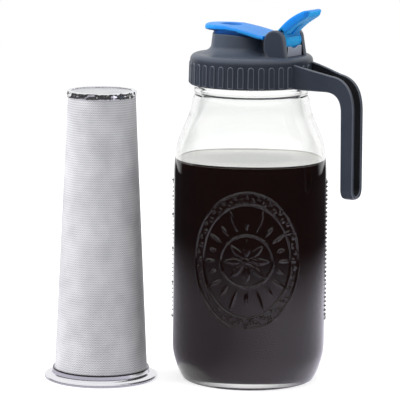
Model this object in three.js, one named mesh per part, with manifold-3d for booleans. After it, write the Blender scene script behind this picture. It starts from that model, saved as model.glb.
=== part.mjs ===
// Cold brew coffee maker: a wide-mouth glass jar of coffee, a screw lid with a carry handle and a
// flip cap, and the steel filter, which stands beside the jar with its open end down.
// Millimetres, +Z up. The carry handle points to +X and the pour spout to -X, so the cap's hinge
// runs along Y. The finished group's origin is the middle of its footprint.

import * as THREE from "three";
import { mergeVertices } from "three/addons/utils/BufferGeometryUtils.js";
import Module from "manifold-3d";

const wasm = await Module();
wasm.setup();

// Driving dimensions
const jarHeight = 240;
const bodyRadius = 57.6;
const neckRadius = 41.4;
const glassWall = 3.3;
const headspace = 70.7;
const skirtHeight = 21.2;
const spoutRadius = 20.2;
const spoutOffset = 10.6;
const hingeOffset = 30;
const hingeRise = 13;
const capWidth = 36;
const handleReach = 90;
const handleDrop = 101;
const filterHeight = 219;
const filterFootRadius = 35.3;
const filterTipRadius = 25.3;
const flangeRadius = 42.8;
const standApart = 111.9;

// Bearings about the jar's axis, in degrees from +X
const panelBearing = 297;
const filterBearing = 212.2;

// Fits, and small values that several pieces share
const seatGap = 0.3;
const runningGap = 0.3;
const bite = 0.5;
const overrun = 2;
const threadPitch = 5.08;
const weldDistance = 1e-4;

// Facets of a full circle
const jarSteps = 48;
const lidSteps = 48;
const spoutSteps = 36;
const filterSteps = 44;
const smallSteps = 20;

const toRadians = THREE.MathUtils.degToRad;
const turn = 2 * Math.PI;
const at = (x, y) => new THREE.Vector2(x, y);

const looks = {
  glass: { color: 0xeaf3f2, roughness: 0.03, metalness: 0 },
  coffee: { color: 0x190c0a, roughness: 0.08, metalness: 0 },
  slatePlastic: { color: 0x464c58, roughness: 0.5, metalness: 0 },
  palePlastic: { color: 0x9a9da6, roughness: 0.6, metalness: 0 },
  bluePlastic: { color: 0x1e8cf5, roughness: 0.35, metalness: 0 },
  silicone: { color: 0xe7e9ea, roughness: 0.6, metalness: 0 },
  meshSteel: { color: 0xb6b7ba, roughness: 0.45, metalness: 1 },
  polishedSteel: { color: 0xdcdde0, roughness: 0.12, metalness: 1 },
};

// Closed geometry to solid and back

// Welds a geometry's corners and drops the faces that this closes up, such as those at a pole.
function welded(geometry) {
  const bare = geometry.clone();
  bare.deleteAttribute("normal");
  bare.deleteAttribute("uv");
  const merged = mergeVertices(bare, weldDistance);
  const index = [];
  const from = merged.index.array;
  for (let i = 0; i < from.length; i += 3) {
    const [a, b, c] = [from[i], from[i + 1], from[i + 2]];
    if (a !== b && b !== c && c !== a) index.push(a, b, c);
  }
  return merged.setIndex(index);
}

function solid(geometry) {
  const clean = welded(geometry);
  return new wasm.Manifold(
    new wasm.Mesh({
      numProp: 3,
      vertProperties: clean.attributes.position.array,
      triVerts: new Uint32Array(clean.index.array),
    }),
  );
}

function geometryOf(manifold) {
  const made = manifold.getMesh();
  return new THREE.BufferGeometry()
    .setAttribute("position", new THREE.BufferAttribute(new Float32Array(made.vertProperties), made.numProp))
    .setIndex(new THREE.BufferAttribute(new Uint32Array(made.triVerts), 1));
}

function piece(name, shape, look) {
  const geometry = shape.isBufferGeometry ? welded(shape) : geometryOf(shape);
  geometry.computeVertexNormals();
  const mesh = new THREE.Mesh(geometry, new THREE.MeshStandardMaterial(looks[look]));
  mesh.name = name;
  return mesh;
}

// Shapes that several pieces use

// Revolves a profile of (radius, height) points about the vertical.
function revolve(points, steps) {
  return new THREE.LatheGeometry(points, steps).rotateX(Math.PI / 2);
}

function ring(inner, outer, low, high, steps) {
  return revolve([at(inner, low), at(outer, low), at(outer, high), at(inner, high), at(inner, low)], steps);
}

function disc(radius, low, high, steps) {
  return revolve([at(0, low), at(radius, low), at(radius, high), at(0, high)], steps);
}

// A cylinder along Y about the cap's hinge line.
function hingeCylinder(radius, from, to) {
  return disc(radius, from, to, smallSteps)
    .rotateX(-Math.PI / 2)
    .translate(hingeOffset, 0, hingeHeight);
}

// Extrudes a side view, drawn as (x, z), across Y from one place to another.
function sidePlate(shape, from, to) {
  return new THREE.ExtrudeGeometry(shape, { depth: to - from, bevelEnabled: false, curveSegments: 8 })
    .rotateX(Math.PI / 2)
    .translate(0, to, 0);
}

// Extrudes a plan, drawn as (x, y), from one height to another.
function planPlate(shape, low, high) {
  const plate = new THREE.ExtrudeGeometry(shape, { depth: high - low, bevelEnabled: false, curveSegments: 8 });
  return plate.translate(0, 0, low);
}

// Extrudes an end view, drawn as (y, z), along X from one place to another.
function endPlate(shape, from, to) {
  return new THREE.ExtrudeGeometry(shape, { depth: to - from, bevelEnabled: false, curveSegments: 8 })
    .rotateX(Math.PI / 2)
    .rotateZ(Math.PI / 2)
    .translate(from, 0, 0);
}

// A skin over sections of as many points each, with a flat end on the first and the last.
function loft(sections) {
  const count = sections[0].length;
  const last = (sections.length - 1) * count;
  const index = [];
  for (let s = 0; s < last; s += count) {
    for (let p = 0; p < count; p += 1) {
      const next = (p + 1) % count;
      index.push(s + p, s + next, s + next + count, s + p, s + next + count, s + p + count);
    }
  }
  for (let p = 1; p < count - 1; p += 1) {
    index.push(0, p + 1, p, last, last + p, last + p + 1);
  }
  const positions = sections.flat().flatMap((point) => [point.x, point.y, point.z]);
  return new THREE.BufferGeometry()
    .setAttribute("position", new THREE.BufferAttribute(new Float32Array(positions), 3))
    .setIndex(index);
}

// A right-hand thread's ridge that falls from its start. It grows out of the wall at both ends.
function threadRidge({ wall, crest, wallWidth, crestWidth, start, turns }) {
  const stepsPerTurn = 36;
  const count = Math.round(turns * stepsPerTurn);
  const growShare = 0.12;
  const inward = Math.sign(crest - wall);
  const root = wall - inward * bite;
  const sections = [];
  for (let step = 0; step <= count; step += 1) {
    const share = step / count;
    const grown = Math.min(1, (share + growShare) / (2 * growShare), (1 - share + growShare) / (2 * growShare));
    const angle = turn * turns * share;
    const height = start + threadPitch * turns * (share - 1);
    const tip = wall + (crest - wall) * grown;
    const section = [
      [root, -wallWidth / 2],
      [tip, -crestWidth / 2],
      [tip, crestWidth / 2],
      [root, wallWidth / 2],
    ];
    const points = section.map(
      ([radius, up]) =>
        new THREE.Vector3(radius * Math.cos(angle), radius * Math.sin(angle), height + up),
    );
    sections.push(inward > 0 ? points.reverse() : points);
  }
  return loft(sections);
}

// Glass jar

const footRadius = 49.5;
const footWidth = 6;
const pushUp = 2.5;
const heelHeight = 23;
const baseThickness = 6.5;
const innerHeel = 15;
const shoulderHeight = 58.8;
const neckHeight = 23.2;
const grooveDepth = 0.8;
const beadProud = 1.5;
const beadHeight = 4.1;
const beadDrop = 18.4;
const beadSlope = 0.8;
const rimRound = 1.2;
const jarThreadHeight = 1.4;
const jarThreadWall = 3.2;
const jarThreadTip = 1.4;
const jarThreadDrop = 4.4;
const jarThreadTurns = 1.4;

const shoulderTop = jarHeight - neckHeight;
const shoulderFoot = shoulderTop - shoulderHeight;
const mouthRadius = neckRadius - glassWall;
const coffeeTop = jarHeight - headspace;

// The body is a rounded square: its corners stand out by this share of the radius to its panels.
const cornerShare = 0.05;
const heelShares = [0.62, 0.35];
// The shoulder's curve, as shares of its height and of its step in to the neck.
const shoulderShares = [
  [0.145, 0.03],
  [0.29, 0.09],
  [0.39, 0.175],
  [0.49, 0.31],
  [0.58, 0.45],
  [0.67, 0.6],
  [0.75, 0.725],
  [0.84, 0.82],
  [0.93, 0.895],
  [1, 1],
];

function shoulderCurve(footAt, neckAt) {
  return shoulderShares.map(([up, inward]) =>
    at(footAt + (neckAt - footAt) * inward, shoulderFoot + shoulderHeight * up),
  );
}

// How far the body's wall stands out at this angle and height, as a factor of its round radius.
function squareness(angle, height) {
  const corner = (1 - Math.cos(4 * (angle - toRadians(panelBearing)))) / 2;
  const aboveFoot = THREE.MathUtils.smoothstep(height, 0, heelHeight);
  const belowNeck = 1 - THREE.MathUtils.smoothstep(height, shoulderFoot, shoulderTop);
  return 1 + cornerShare * corner * aboveFoot * belowNeck;
}

function squared(geometry) {
  const place = geometry.attributes.position;
  for (let i = 0; i < place.count; i += 1) {
    const out = squareness(Math.atan2(place.getY(i), place.getX(i)), place.getZ(i));
    place.setXYZ(i, place.getX(i) * out, place.getY(i) * out, place.getZ(i));
  }
  return geometry;
}

// The outer profile, from the axis under the base to the top of the rim.
function outerProfile() {
  const line = new THREE.Path();
  const grooveRadius = neckRadius + grooveDepth;
  const beadRadius = neckRadius + beadProud;
  const beadTop = jarHeight - beadDrop;
  line.moveTo(0, pushUp);
  line.lineTo(footRadius - footWidth - pushUp, pushUp);
  line.lineTo(footRadius - footWidth, 0);
  line.lineTo(footRadius, 0);
  line.quadraticCurveTo(
    footRadius + (bodyRadius - footRadius) * heelShares[0],
    heelHeight * heelShares[1],
    bodyRadius,
    heelHeight,
  );
  line.lineTo(bodyRadius, shoulderFoot);
  shoulderCurve(bodyRadius, grooveRadius).forEach((point) => line.lineTo(point.x, point.y));
  line.lineTo(beadRadius, beadTop - beadHeight + beadSlope);
  line.lineTo(beadRadius, beadTop - beadSlope);
  line.lineTo(neckRadius, beadTop);
  line.lineTo(neckRadius, jarHeight - rimRound);
  line.absarc(neckRadius - rimRound, jarHeight - rimRound, rimRound, 0, Math.PI / 2);
  return line.getPoints(4);
}

// The inner profile, from the axis on the base to the mouth, drawn in by a gap.
function innerProfile(gap) {
  const line = new THREE.Path();
  const wall = bodyRadius - glassWall - gap;
  const low = baseThickness + gap;
  line.moveTo(0, low);
  line.lineTo(wall - innerHeel, low);
  line.absarc(wall - innerHeel, low + innerHeel, innerHeel, -Math.PI / 2, 0);
  line.lineTo(wall, shoulderFoot);
  shoulderCurve(wall, mouthRadius - gap).forEach((point) => line.lineTo(point.x, point.y));
  line.lineTo(mouthRadius - gap, jarHeight);
  return line.getPoints(3);
}

// The part of a rising profile that lies under a level, closed in to the axis there.
function filledTo(profile, level) {
  const under = profile.filter((point) => point.y < level);
  const below = under[under.length - 1];
  const above = profile[under.length];
  const edge = below.clone().lerp(above, (level - below.y) / (above.y - below.y));
  return [...under, edge, at(0, level)];
}

// Raised ornament on the jar: flat shapes that are bent round the body's wall

const reliefProud = 0.8;
const medallionFoot = 24;
const medallionHead = 7;
const medallionWidth = 80;
const circleRadius = 20;
const lineWidth = 1.6;
const petalInner = 3.4;
const petalLength = 13;
const petalWidth = 6;
const petalCount = 8;
const rayCount = 20;
const rayWidth = 3;
const rayInset = 3.5;
const shortRayShare = 0.62;
const tickCount = 9;
const tickLength = 12;
const shortTickShare = 0.6;

const medallionLow = heelHeight + medallionFoot;
const medallionTall = shoulderFoot - medallionHead - medallionLow;
const medallionHeight = medallionLow + medallionTall / 2;
const tickSpacing = medallionTall / (tickCount - 1);

// Bends a slab round the wall: its x runs along the wall, its y up, and its z outward.
function bent(slab, bearing) {
  const place = slab.attributes.position;
  for (let i = 0; i < place.count; i += 1) {
    const angle = toRadians(bearing) + place.getX(i) / bodyRadius;
    const height = place.getY(i);
    const radius = bodyRadius * squareness(angle, height) + place.getZ(i);
    place.setXYZ(i, radius * Math.cos(angle), radius * Math.sin(angle), height);
  }
  return slab;
}

function slab(shape, curveSegments) {
  const thick = { depth: bite + reliefProud, bevelEnabled: false, curveSegments };
  return new THREE.ExtrudeGeometry(shape, thick).translate(0, 0, -bite);
}

// A leaf that points outward from the middle, between two distances.
function leaf(from, to, width, angle) {
  const shape = new THREE.Shape();
  const middle = (from + to) / 2;
  shape.moveTo(from, 0);
  shape.quadraticCurveTo(middle, -width, to, 0);
  shape.quadraticCurveTo(middle, width, from, 0);
  return slab(shape, 2).rotateZ(angle);
}

// A rosette in a circle, with rays that reach out to an upright oval by turns long and short.
function medallion(bearing) {
  const circle = new THREE.Shape();
  circle.absarc(0, 0, circleRadius, 0, turn);
  const inside = new THREE.Path();
  inside.absarc(0, 0, circleRadius - lineWidth, 0, turn, true);
  circle.holes.push(inside);
  const motifs = [slab(circle, 12)];
  for (let i = 0; i < petalCount; i += 1) {
    motifs.push(leaf(petalInner, petalInner + petalLength, petalWidth / 2, (turn * i) / petalCount));
  }
  for (let i = 0; i < rayCount; i += 1) {
    const angle = (turn * i) / rayCount;
    const start = circleRadius + rayInset;
    const oval = 1 / Math.hypot((2 * Math.cos(angle)) / medallionWidth, (2 * Math.sin(angle)) / medallionTall);
    const reach = (oval - start) * (i % 2 ? shortRayShare : 1);
    motifs.push(leaf(start, start + reach, rayWidth / 2, angle));
  }
  return motifs.map((motif) => bent(motif.translate(0, medallionHeight, 0), bearing));
}

// A ladder of plain measuring ticks, by turns long and short.
function ticks(bearing) {
  return Array.from({ length: tickCount }, (_, i) => {
    const length = tickLength * (i % 2 ? shortTickShare : 1);
    const bar = new THREE.BoxGeometry(length, lineWidth, bite + reliefProud);
    bar.translate(length / 2 - tickLength / 2, 0, (reliefProud - bite) / 2);
    const height = medallionHeight + tickSpacing * (i - (tickCount - 1) / 2);
    return bent(bar.translate(0, height, 0), bearing);
  });
}

function glassJar() {
  const profile = [...outerProfile(), ...innerProfile(0).reverse()];
  const thread = threadRidge({
    wall: neckRadius,
    crest: neckRadius + jarThreadHeight,
    wallWidth: jarThreadWall,
    crestWidth: jarThreadTip,
    start: jarHeight - jarThreadDrop,
    turns: jarThreadTurns,
  });
  return [thread, ...medallion(panelBearing), ...ticks(panelBearing + 90)].reduce(
    (whole, raised) => whole.add(solid(raised)),
    solid(squared(revolve(profile, jarSteps))),
  );
}

function coffee() {
  return squared(revolve(filledTo(innerProfile(seatGap), coffeeTop), jarSteps));
}

// Lid seal: a flat ring between the jar's rim and the lid's deck

const sealThickness = 2;
const sealLip = 1.5;
const lidThreadDepth = 1.1;

const lidBore = neckRadius + jarThreadHeight + runningGap + lidThreadDepth;
const sealLow = jarHeight + seatGap;
const sealHigh = sealLow + sealThickness;

function lidSeal() {
  return ring(mouthRadius - sealLip, lidBore - runningGap, sealLow, sealHigh, jarSteps);
}

// Screw lid: skirt with grips, deck, pour spout and the two ears of the cap's hinge

const skirtWall = 2.1;
const deckThickness = 2.6;
const shoulderRound = 3.5;
const gripCount = 38;
const gripWidth = 4.5;
const gripProud = 0.7;
const gripFoot = 1;
const gripHeight = 16;
const lidThreadWall = 2.4;
const lidThreadTip = 0.9;
const lidThreadRise = 3;
const lidThreadTurns = 1.2;
const spoutHeight = 18.6;
const spoutWall = 2.8;
const spoutDraft = 1;
const flareWidth = 5.2;
const flareHeight = 6.5;
const rimBend = 9.6;
const rimFall = 5.2;
const earReach = 11;
const earTop = 8.5;
const earBack = 8.4;
const earNeck = 5.4;
const earInner = 12;
const earThickness = 5;
const trunnionRadius = 2.4;
const trunnionLength = 3;

const deckLow = sealHigh + seatGap;
const deckTop = deckLow + deckThickness;
const skirtLow = deckTop - skirtHeight;
const lidRadius = lidBore + skirtWall;
const hingeHeight = deckTop + hingeRise;
const spoutTop = deckTop + spoutHeight;
const spoutBore = spoutRadius - spoutWall;

// The side view of the space over the spout's rim, which dips towards the hinge.
function aboveRim(gap) {
  const shape = new THREE.Shape();
  const low = spoutTop - rimFall + gap;
  const high = spoutTop + spoutHeight;
  shape.moveTo(-lidRadius, spoutTop + gap);
  shape.lineTo(-spoutOffset, spoutTop + gap);
  shape.quadraticCurveTo(rimBend - spoutOffset, spoutTop + gap, hingeOffset - earReach, low);
  shape.lineTo(lidRadius, low);
  shape.lineTo(lidRadius, high);
  shape.lineTo(-lidRadius, high);
  return solid(sidePlate(shape, -lidRadius, lidRadius));
}

function spout() {
  const line = new THREE.Path();
  line.moveTo(0, deckTop - bite);
  line.lineTo(spoutRadius + flareWidth, deckTop - bite);
  line.lineTo(spoutRadius + flareWidth, deckTop);
  line.quadraticCurveTo(spoutRadius + 2 * spoutDraft, deckTop, spoutRadius + spoutDraft, deckTop + flareHeight);
  line.lineTo(spoutRadius, spoutTop);
  line.lineTo(0, spoutTop);
  return solid(revolve(line.getPoints(4), spoutSteps).translate(-spoutOffset, 0, 0));
}

// How far the ears' straight front edge reaches below the hinge, as a share of their height above it.
const earFlankShare = 0.8;

function ear(side) {
  const shape = new THREE.Shape();
  const base = deckTop - bite;
  shape.moveTo(hingeOffset + earBack, base);
  shape.lineTo(hingeOffset + earNeck, hingeHeight + earTop / 4);
  shape.quadraticCurveTo(hingeOffset + earNeck, hingeHeight + earTop, hingeOffset, hingeHeight + earTop);
  shape.quadraticCurveTo(hingeOffset - earReach, hingeHeight + earTop, hingeOffset - earReach, hingeHeight);
  shape.lineTo(hingeOffset - earReach, hingeHeight - earTop * earFlankShare);
  shape.lineTo(hingeOffset - earNeck, base);
  const [near, far] = [side * earInner, side * (earInner + earThickness)];
  return solid(sidePlate(shape, Math.min(near, far), Math.max(near, far)));
}

// One grip: an upright bar with a round top, sunk into the skirt.
function grip(angle) {
  const shape = new THREE.Shape();
  const half = gripWidth / 2;
  const low = skirtLow + gripFoot;
  shape.moveTo(-half, low);
  shape.lineTo(half, low);
  shape.lineTo(half, low + gripHeight - half);
  shape.absarc(0, low + gripHeight - half, half, 0, Math.PI);
  const bar = new THREE.ExtrudeGeometry(shape, { depth: bite + gripProud, bevelEnabled: false, curveSegments: 3 })
    .rotateX(Math.PI / 2)
    .rotateZ(Math.PI / 2)
    .translate(lidRadius - bite, 0, 0);
  return solid(bar.rotateZ(angle));
}

function screwLid() {
  const line = new THREE.Path();
  line.moveTo(0, deckLow);
  line.lineTo(lidBore, deckLow);
  line.lineTo(lidBore, skirtLow);
  line.lineTo(lidRadius, skirtLow);
  line.lineTo(lidRadius, deckTop - shoulderRound);
  line.absarc(lidRadius - shoulderRound, deckTop - shoulderRound, shoulderRound, 0, Math.PI / 2);
  line.lineTo(0, deckTop);
  let lid = solid(revolve(line.getPoints(4), lidSteps)).add(spout()).add(ear(1)).add(ear(-1));
  for (let i = 0; i < gripCount; i += 1) {
    const angle = (turn * i) / gripCount;
    const aside = Math.abs(lidRadius * Math.sin(angle));
    const underHandle = Math.cos(angle) > 0 && Math.abs(aside - rootSpread) < gripWidth;
    if (!underHandle) lid = lid.add(grip(angle));
  }
  const thread = threadRidge({
    wall: lidBore,
    crest: lidBore - lidThreadDepth,
    wallWidth: lidThreadWall,
    crestWidth: lidThreadTip,
    start: skirtLow + lidThreadRise + threadPitch * lidThreadTurns,
    turns: lidThreadTurns,
  });
  const bore = disc(spoutBore, deckLow - overrun, spoutTop + overrun, spoutSteps).translate(-spoutOffset, 0, 0);
  const socketReach = earInner + trunnionLength + runningGap;
  return lid
    .add(solid(thread))
    .subtract(solid(bore))
    .subtract(aboveRim(0).subtract(earRoom()))
    .subtract(solid(hingeCylinder(trunnionRadius + runningGap, -socketReach, socketReach)));
}

// Carry handle: two ribbons that leave the skirt apart, draw together and join in a U at the bottom

const rootSpread = 13.9;
const gripSpread = 6.9;
const ribbonThickness = 3;
const ribbonWidth = 10;
const rootDrop = 3.6;
const elbowRise = 10;
const elbowReach = 18;
const elbowDrop = 37;
const crookReach = 9.5;
const crookDrop = 16;
const handleCorner = 2.5;
const handleLean = 0.8;

// Where the elbow's curve bends, as a share of its rise.
const elbowShare = 0.7;

const handleLow = deckTop - handleDrop;

// The side view of both ribbons.
function handleSide() {
  const shape = new THREE.Shape();
  const back = handleReach - ribbonWidth;
  const elbow = handleReach - handleLean;
  const crook = elbow - ribbonWidth;
  shape.moveTo(lidRadius / 2, skirtLow);
  shape.lineTo(crook - crookReach, skirtLow);
  shape.quadraticCurveTo(crook, skirtLow, crook, skirtLow - crookDrop);
  shape.lineTo(back, handleLow + handleCorner);
  shape.quadraticCurveTo(back, handleLow, back + handleCorner, handleLow);
  shape.lineTo(handleReach - handleCorner, handleLow);
  shape.quadraticCurveTo(handleReach, handleLow, handleReach, handleLow + handleCorner);
  shape.lineTo(elbow, deckTop - elbowDrop);
  shape.quadraticCurveTo(elbow, skirtLow + elbowRise * elbowShare, elbow - elbowReach, skirtLow + elbowRise);
  shape.lineTo(lidRadius, deckTop - rootDrop);
  shape.lineTo(lidRadius / 2, deckTop - rootDrop);
  return shape;
}

// The plan of the space that lies within the ribbons' middle lines, moved out or in by an amount.
function handlePlan(out) {
  const shape = new THREE.Shape();
  const [wide, narrow] = [rootSpread + out, gripSpread + out];
  const [near, far] = [lidRadius, handleReach - handleLean - ribbonWidth];
  const middle = (near + far) / 2;
  shape.moveTo(near / 2, wide);
  shape.lineTo(near / 2, -wide);
  shape.lineTo(near, -wide);
  shape.bezierCurveTo(middle, -wide, middle, -narrow, far, -narrow);
  shape.lineTo(handleReach + overrun, -narrow);
  shape.lineTo(handleReach + overrun, narrow);
  shape.lineTo(far, narrow);
  shape.bezierCurveTo(middle, narrow, middle, wide, near, wide);
  return shape;
}

// The end view of the same space: a U at the bottom, wide where the ribbons part.
function handleEnd(out) {
  const shape = new THREE.Shape();
  const half = gripSpread + out;
  const turnHeight = handleLow + gripSpread + ribbonThickness / 2;
  shape.moveTo(half, deckTop - elbowDrop);
  shape.lineTo(lidRadius, deckTop - elbowDrop);
  shape.lineTo(lidRadius, deckTop + overrun);
  shape.lineTo(-lidRadius, deckTop + overrun);
  shape.lineTo(-lidRadius, deckTop - elbowDrop);
  shape.lineTo(-half, deckTop - elbowDrop);
  shape.lineTo(-half, turnHeight);
  shape.absarc(0, turnHeight, half, Math.PI, turn);
  return shape;
}

function handleSpace(out) {
  const plan = solid(planPlate(handlePlan(out), handleLow - overrun, deckTop + overrun));
  return plan.intersect(solid(endPlate(handleEnd(out), 0, handleReach + overrun * 2)));
}

function carryHandle() {
  const wide = rootSpread + ribbonThickness;
  return solid(sidePlate(handleSide(), -wide, wide))
    .intersect(handleSpace(ribbonThickness / 2))
    .subtract(handleSpace(-ribbonThickness / 2))
    .subtract(solid(disc(lidRadius + seatGap, skirtLow - overrun, deckTop + overrun, lidSteps)));
}

// Flip cap: a plate over the spout, a thumb lever, and a barrel that turns between the ears

const capThickness = 4.4;
const capTip = 37.7;
const capNose = 3;
const capDip = 1.9;
const barrelRadius = 6.2;
const leverReach = 20.3;
const leverRise = 24;
const leverThickness = 3;
const leverRound = 7;
const leverFoot = 2;
const leverBulge = 6;
const dimpleRadius = 6.8;
const dimpleDepth = 1.6;
const dimpleOffset = 16;
const bossRadius = 8;
const webThickness = 3.2;
const webBulge = 13;
const webDrop = 12.2;
const stopperDepth = 7;
const stopperFloor = 2;
const stopperGap = 0.5;

// Where the lever's underside leaves the barrel, as shares of the barrel's radius.
const rootShares = [0.6, 0.8];

// How far the lever's curves and its tip lie under its top, as shares of its thickness.
const underShare = 4.2;
const tipShare = 0.8;
const crestShare = 1.9;

const capTop = spoutTop + seatGap + capThickness;
const stripHalf = earInner - runningGap;
const stopperLow = spoutTop - stopperDepth;
const stopperRadius = spoutBore - stopperGap;

// The side view of the plate and the lever in one.
function capSide() {
  const shape = new THREE.Shape();
  const waist = hingeOffset - earReach;
  const leverTop = hingeHeight + leverRise;
  const tip = hingeOffset + leverReach;
  const under = spoutTop - rimFall + seatGap;
  shape.moveTo(-capTip, spoutTop + seatGap + capThickness / 4);
  shape.lineTo(-capTip + capNose, spoutTop + seatGap);
  shape.lineTo(-spoutOffset, spoutTop + seatGap);
  shape.quadraticCurveTo(rimBend - spoutOffset, spoutTop + seatGap, waist, under);
  shape.lineTo(hingeOffset - barrelRadius, hingeHeight);
  shape.lineTo(hingeOffset, hingeHeight);
  shape.lineTo(hingeOffset + barrelRadius * rootShares[0], hingeHeight + barrelRadius * rootShares[1]);
  shape.quadraticCurveTo(
    hingeOffset + leverBulge + leverThickness / 2,
    leverTop - leverThickness * underShare,
    tip,
    leverTop - leverThickness * tipShare,
  );
  shape.lineTo(tip, leverTop);
  shape.quadraticCurveTo(
    hingeOffset + leverBulge,
    leverTop - leverThickness * crestShare,
    hingeOffset - leverFoot,
    hingeHeight + earTop,
  );
  shape.quadraticCurveTo(hingeOffset - barrelRadius, hingeHeight + earTop / 2, waist, hingeHeight + earTop / 2);
  shape.lineTo(waist - earReach / 2, hingeHeight + earTop / 2 + capDip / 4);
  shape.quadraticCurveTo(rimBend - spoutOffset, capTop - capDip, -dimpleOffset, capTop);
  shape.lineTo(-capTip + capNose, capTop);
  shape.quadraticCurveTo(-capTip, capTop, -capTip, spoutTop + seatGap + capThickness / 2);
  return shape;
}

// The plan of the plate: round at the tip, straight at the sides.
function capPlan() {
  const shape = new THREE.Shape();
  const half = capWidth / 2;
  shape.moveTo(hingeOffset, -half);
  shape.lineTo(hingeOffset, half);
  shape.lineTo(half - capTip, half);
  shape.absarc(half - capTip, 0, half, Math.PI / 2, (3 * Math.PI) / 2);
  return shape;
}

// The lever's end view, with round corners at its tip.
function leverEnd() {
  const shape = new THREE.Shape();
  const top = hingeHeight + leverRise;
  shape.moveTo(-stripHalf, deckTop);
  shape.lineTo(stripHalf, deckTop);
  shape.lineTo(stripHalf, top - leverRound);
  shape.quadraticCurveTo(stripHalf, top, stripHalf - leverRound, top);
  shape.lineTo(leverRound - stripHalf, top);
  shape.quadraticCurveTo(-stripHalf, top, -stripHalf, top - leverRound);
  return shape;
}

// The room that the cap needs round the ears as it turns.
function earRoom() {
  const reach = earReach + 2 * runningGap;
  const half = capWidth / 2 + overrun;
  return solid(hingeCylinder(reach, stripHalf, half)).add(solid(hingeCylinder(reach, -half, -stripHalf)));
}

// The rib under the lever, from the barrel nearly to the tip.
function leverWeb() {
  const shape = new THREE.Shape();
  const leverTop = hingeHeight + leverRise;
  const tip = hingeOffset + leverReach - leverThickness;
  shape.moveTo(hingeOffset, hingeHeight + barrelRadius / 2);
  shape.lineTo(hingeOffset + barrelRadius * rootShares[0], hingeHeight + barrelRadius / 2);
  shape.quadraticCurveTo(hingeOffset + webBulge, leverTop - webDrop, tip, leverTop - leverThickness);
  shape.lineTo(tip, leverTop - leverThickness / 2);
  shape.quadraticCurveTo(
    hingeOffset + leverBulge + leverThickness / 2,
    leverTop - leverThickness * (crestShare + underShare) / 2,
    hingeOffset,
    hingeHeight + barrelRadius,
  );
  return solid(sidePlate(shape, -webThickness / 2, webThickness / 2));
}

function flipCap() {
  const half = capWidth / 2;
  const plate = solid(sidePlate(capSide(), -half, half))
    .intersect(solid(planPlate(capPlan(), deckTop, capTop + overrun)))
    .subtract(earRoom());
  const strip = solid(sidePlate(capSide(), -stripHalf, stripHalf))
    .intersect(solid(endPlate(leverEnd(), -spoutOffset, hingeOffset + leverReach + overrun)));
  const boss = disc(bossRadius, stopperLow + stopperFloor, spoutTop + capThickness / 2, smallSteps);
  const dimple = disc(dimpleRadius, capTop - dimpleDepth, capTop + overrun, smallSteps);
  const trunnionReach = earInner + trunnionLength;
  return plate
    .add(strip)
    .add(solid(hingeCylinder(barrelRadius, -stripHalf, stripHalf)))
    .add(solid(hingeCylinder(trunnionRadius, -trunnionReach, trunnionReach)))
    .add(leverWeb())
    .add(solid(boss.translate(-spoutOffset, 0, 0)))
    .subtract(solid(dimple.translate(-dimpleOffset, 0, 0)));
}

// Spout stopper: a soft plug that the cap's boss carries inside the spout
function spoutStopper() {
  const plug = disc(stopperRadius, stopperLow, spoutTop, smallSteps * 2).translate(-spoutOffset, 0, 0);
  const hollow = disc(bossRadius + seatGap, stopperLow + stopperFloor - seatGap, spoutTop + overrun, smallSteps);
  return solid(plug)
    .subtract(aboveRim(0))
    .subtract(solid(hollow.translate(-spoutOffset, 0, 0)));
}

// Hinge block: the pale block that cradles the barrel, with a notch in its top edge

const blockHalf = 11;
const blockFront = 6.5;
const blockBack = 2.5;
const blockTop = 3.6;
const notchHalf = 16;
const notchDepth = 2.2;

function hingeBlock() {
  const side = new THREE.Shape();
  side.moveTo(hingeOffset - blockBack, deckTop + seatGap);
  side.lineTo(hingeOffset + blockFront, deckTop + seatGap);
  side.lineTo(hingeOffset + blockFront, hingeHeight - blockTop);
  side.lineTo(hingeOffset - blockBack, hingeHeight - blockTop);
  const notch = new THREE.Shape();
  notch.moveTo(0, hingeHeight - blockTop - notchDepth);
  notch.lineTo(notchHalf, hingeHeight);
  notch.lineTo(-notchHalf, hingeHeight);
  return solid(sidePlate(side, -blockHalf, blockHalf))
    .subtract(solid(hingeCylinder(barrelRadius + runningGap, -earInner, earInner)))
    .subtract(solid(endPlate(notch, hingeOffset - blockBack - overrun, hingeOffset + blockFront + overrun)));
}

// Filter: a flange on the table, the mesh cone, and an end disc in a crimped rim

const flangeEdge = 1.4;
const collarHeight = 8.3;
const collarWall = 0.8;
const collarFillet = 2;
const meshWall = 0.9;
const meshStart = 0.6;
const rimHeight = 5;
const rimWall = 0.6;
const rimLipWidth = 2.2;
const rimLip = 1;
const rimCorner = 0.6;
const endThickness = 1;

const meshEnd = filterHeight - rimLip - seatGap;

function meshRadiusAt(height) {
  return THREE.MathUtils.mapLinear(height, meshStart, meshEnd, filterFootRadius, filterTipRadius);
}

function filterFlange() {
  const inner = filterFootRadius + seatGap;
  const outer = inner + collarWall;
  const top = 2 * flangeEdge;
  const line = new THREE.Path();
  line.moveTo(inner, 0);
  line.lineTo(flangeRadius - flangeEdge, 0);
  line.absarc(flangeRadius - flangeEdge, flangeEdge, flangeEdge, -Math.PI / 2, Math.PI / 2);
  line.lineTo(outer + collarFillet, top);
  line.quadraticCurveTo(outer, top, outer, top + collarFillet);
  line.lineTo(outer, collarHeight);
  line.lineTo(inner, collarHeight);
  line.lineTo(inner, 0);
  return revolve(line.getPoints(3), filterSteps);
}

function filterMesh() {
  const inner = (height) => at(meshRadiusAt(height) - meshWall, height);
  const outer = (height) => at(meshRadiusAt(height), height);
  return revolve([inner(meshStart), outer(meshStart), outer(meshEnd), inner(meshEnd), inner(meshStart)], filterSteps);
}

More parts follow.
